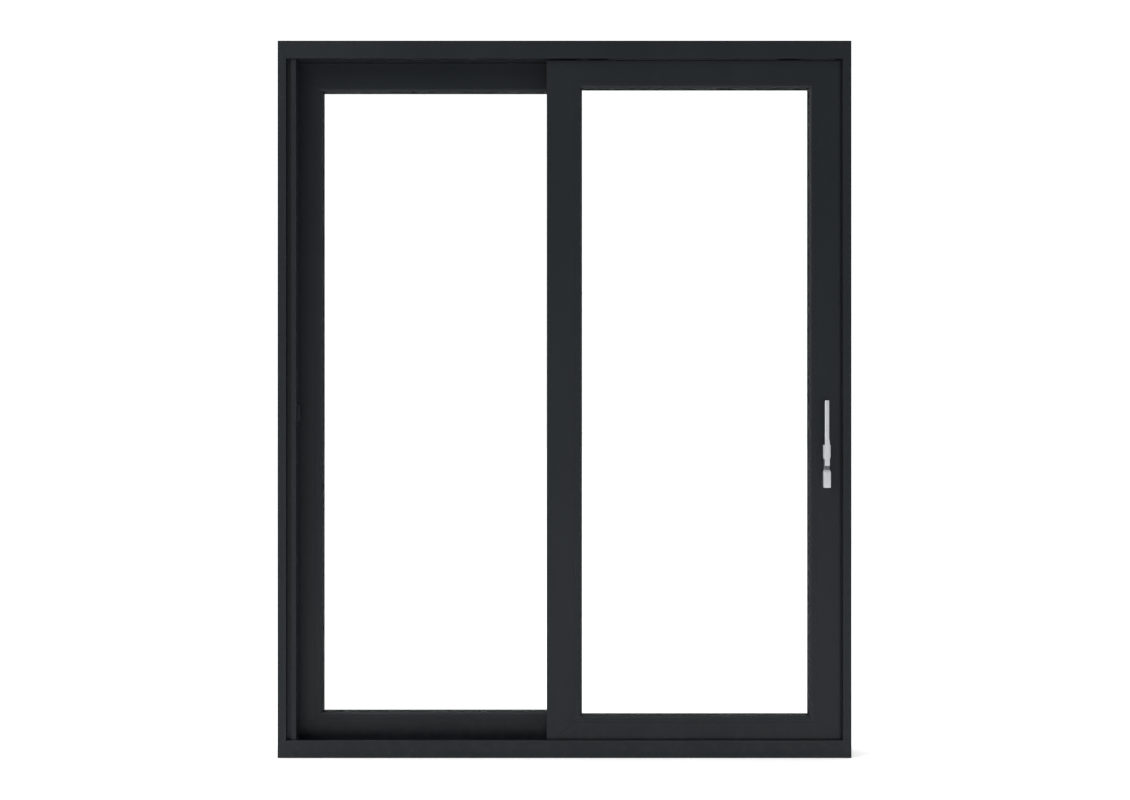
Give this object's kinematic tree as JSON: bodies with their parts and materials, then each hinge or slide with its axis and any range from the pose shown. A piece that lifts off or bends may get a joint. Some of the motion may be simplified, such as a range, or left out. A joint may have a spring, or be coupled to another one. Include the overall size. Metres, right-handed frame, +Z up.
{
  "type": "sliding patio door",
  "caption": "Sliding patio door: a fixed glazed panel, and a glazed sash that rolls in front of it, with a long lever handle and a hook lock.",
  "frame": {"origin": "the middle of the sill's underside, half way along its length and half way through the frame's 140 mm depth", "axes": "+Z up; +X to the right as seen from the room, from the fixed panel to the lock side; +Y outwards, so the lever handle is on the -Y side; at rest the sash is shut and the hook drawn back"},
  "size_m": [1.68, 0.162, 2.1],
  "materials": {
    "graphite_coat": "aluminium bar with a graphite powder coat, satin",
    "satin_silver": "satin silver, finely brushed",
    "bare_steel": "bare stainless steel",
    "black_rubber": "black weather-seal rubber",
    "black_nylon": "black nylon",
    "mill_aluminium": "mill aluminium",
    "clear_glass": "clear float glass"
  },
  "bodies": {
    "frame": {"frame_head": "graphite_coat", "frame_sill": "graphite_coat", "frame_jamb_left": "graphite_coat", "frame_jamb_right": "graphite_coat", "sill_rail": "bare_steel", "head_guide_channel": "black_nylon", "jamb_stop_profile": "graphite_coat", "stop_buffer": "black_rubber", "lock_keeper": "bare_steel", "keeper_screw_lower": "bare_steel", "keeper_screw_upper": "bare_steel", "fixed_stop_left": "graphite_coat", "fixed_stop_top": "graphite_coat", "jamb_seal": "black_rubber", "jamb_cover_strip": "graphite_coat", "fixed_top_rail": "graphite_coat", "fixed_bottom_rail": "graphite_coat", "fixed_jamb_stile": "graphite_coat", "fixed_meeting_stile": "graphite_coat", "fixed_bead_top": "graphite_coat", "fixed_bead_bottom": "graphite_coat", "fixed_bead_left": "graphite_coat", "fixed_bead_right": "graphite_coat", "fixed_glass_inner": "clear_glass", "fixed_glass_outer": "clear_glass", "fixed_glass_spacer": "mill_aluminium", "fixed_gasket_inner": "black_rubber", "fixed_gasket_outer": "black_rubber", "fixed_interlock": "mill_aluminium"},
    "sash": {"sash_top_rail": "graphite_coat", "sash_bottom_rail": "graphite_coat", "sash_meeting_stile": "graphite_coat", "sash_lock_stile": "graphite_coat", "sash_bead_top": "graphite_coat", "sash_bead_bottom": "graphite_coat", "sash_bead_left": "graphite_coat", "sash_bead_right": "graphite_coat", "sash_glass_inner": "clear_glass", "sash_glass_outer": "clear_glass", "sash_glass_spacer": "mill_aluminium", "sash_gasket_inner": "black_rubber", "sash_gasket_outer": "black_rubber", "sash_interlock": "mill_aluminium", "roller_housing_left": "bare_steel", "roller_housing_right": "bare_steel", "roller_axle_left": "bare_steel", "roller_axle_right": "bare_steel", "top_guide_left": "black_nylon", "top_guide_right": "black_nylon", "lock_case": "bare_steel", "lock_faceplate": "bare_steel", "hook_pin": "bare_steel", "exterior_pull": "satin_silver", "handle_base": "satin_silver"},
    "lever": {"handle_lever": "satin_silver", "lever_spindle": "bare_steel", "lock_follower": "bare_steel"},
    "hook": {"lock_hook": "bare_steel"},
    "wheel_left": {"roller_wheel_left": "black_nylon"},
    "wheel_right": {"roller_wheel_right": "black_nylon"}
  },
  "joints": [
    {"name": "sash_slide", "type": "slide", "parent": "frame", "child": "sash", "axis": [-1, 0, 0], "range_m": [0, 0.727]},
    {"name": "lever_turn", "type": "hinge", "parent": "sash", "child": "lever", "pos_m": [0.7684, -0.06, 0.89], "axis": [0, -1, 0], "range_deg": [0, 180]},
    {"name": "hook_swing", "type": "hinge", "parent": "sash", "child": "hook", "pos_m": [0.79, -0.038, 0.872], "axis": [0, 1, 0], "range_deg": [0, 90]},
    {"name": "wheel_left_roll", "type": "hinge", "parent": "sash", "child": "wheel_left", "pos_m": [0.1, -0.038, 0.0448], "axis": [0, -1, 0], "continuous": true},
    {"name": "wheel_right_roll", "type": "hinge", "parent": "sash", "child": "wheel_right", "pos_m": [0.66, -0.038, 0.0448], "axis": [0, -1, 0], "continuous": true}
  ],
  "couplings": [
    {"joint": "hook_swing", "follows": "lever_turn", "ratio": 0.5},
    {"joint": "wheel_left_roll", "follows": "sash_slide", "rad_per_m": 76.923},
    {"joint": "wheel_right_roll", "follows": "sash_slide", "rad_per_m": 76.923}
  ]
}
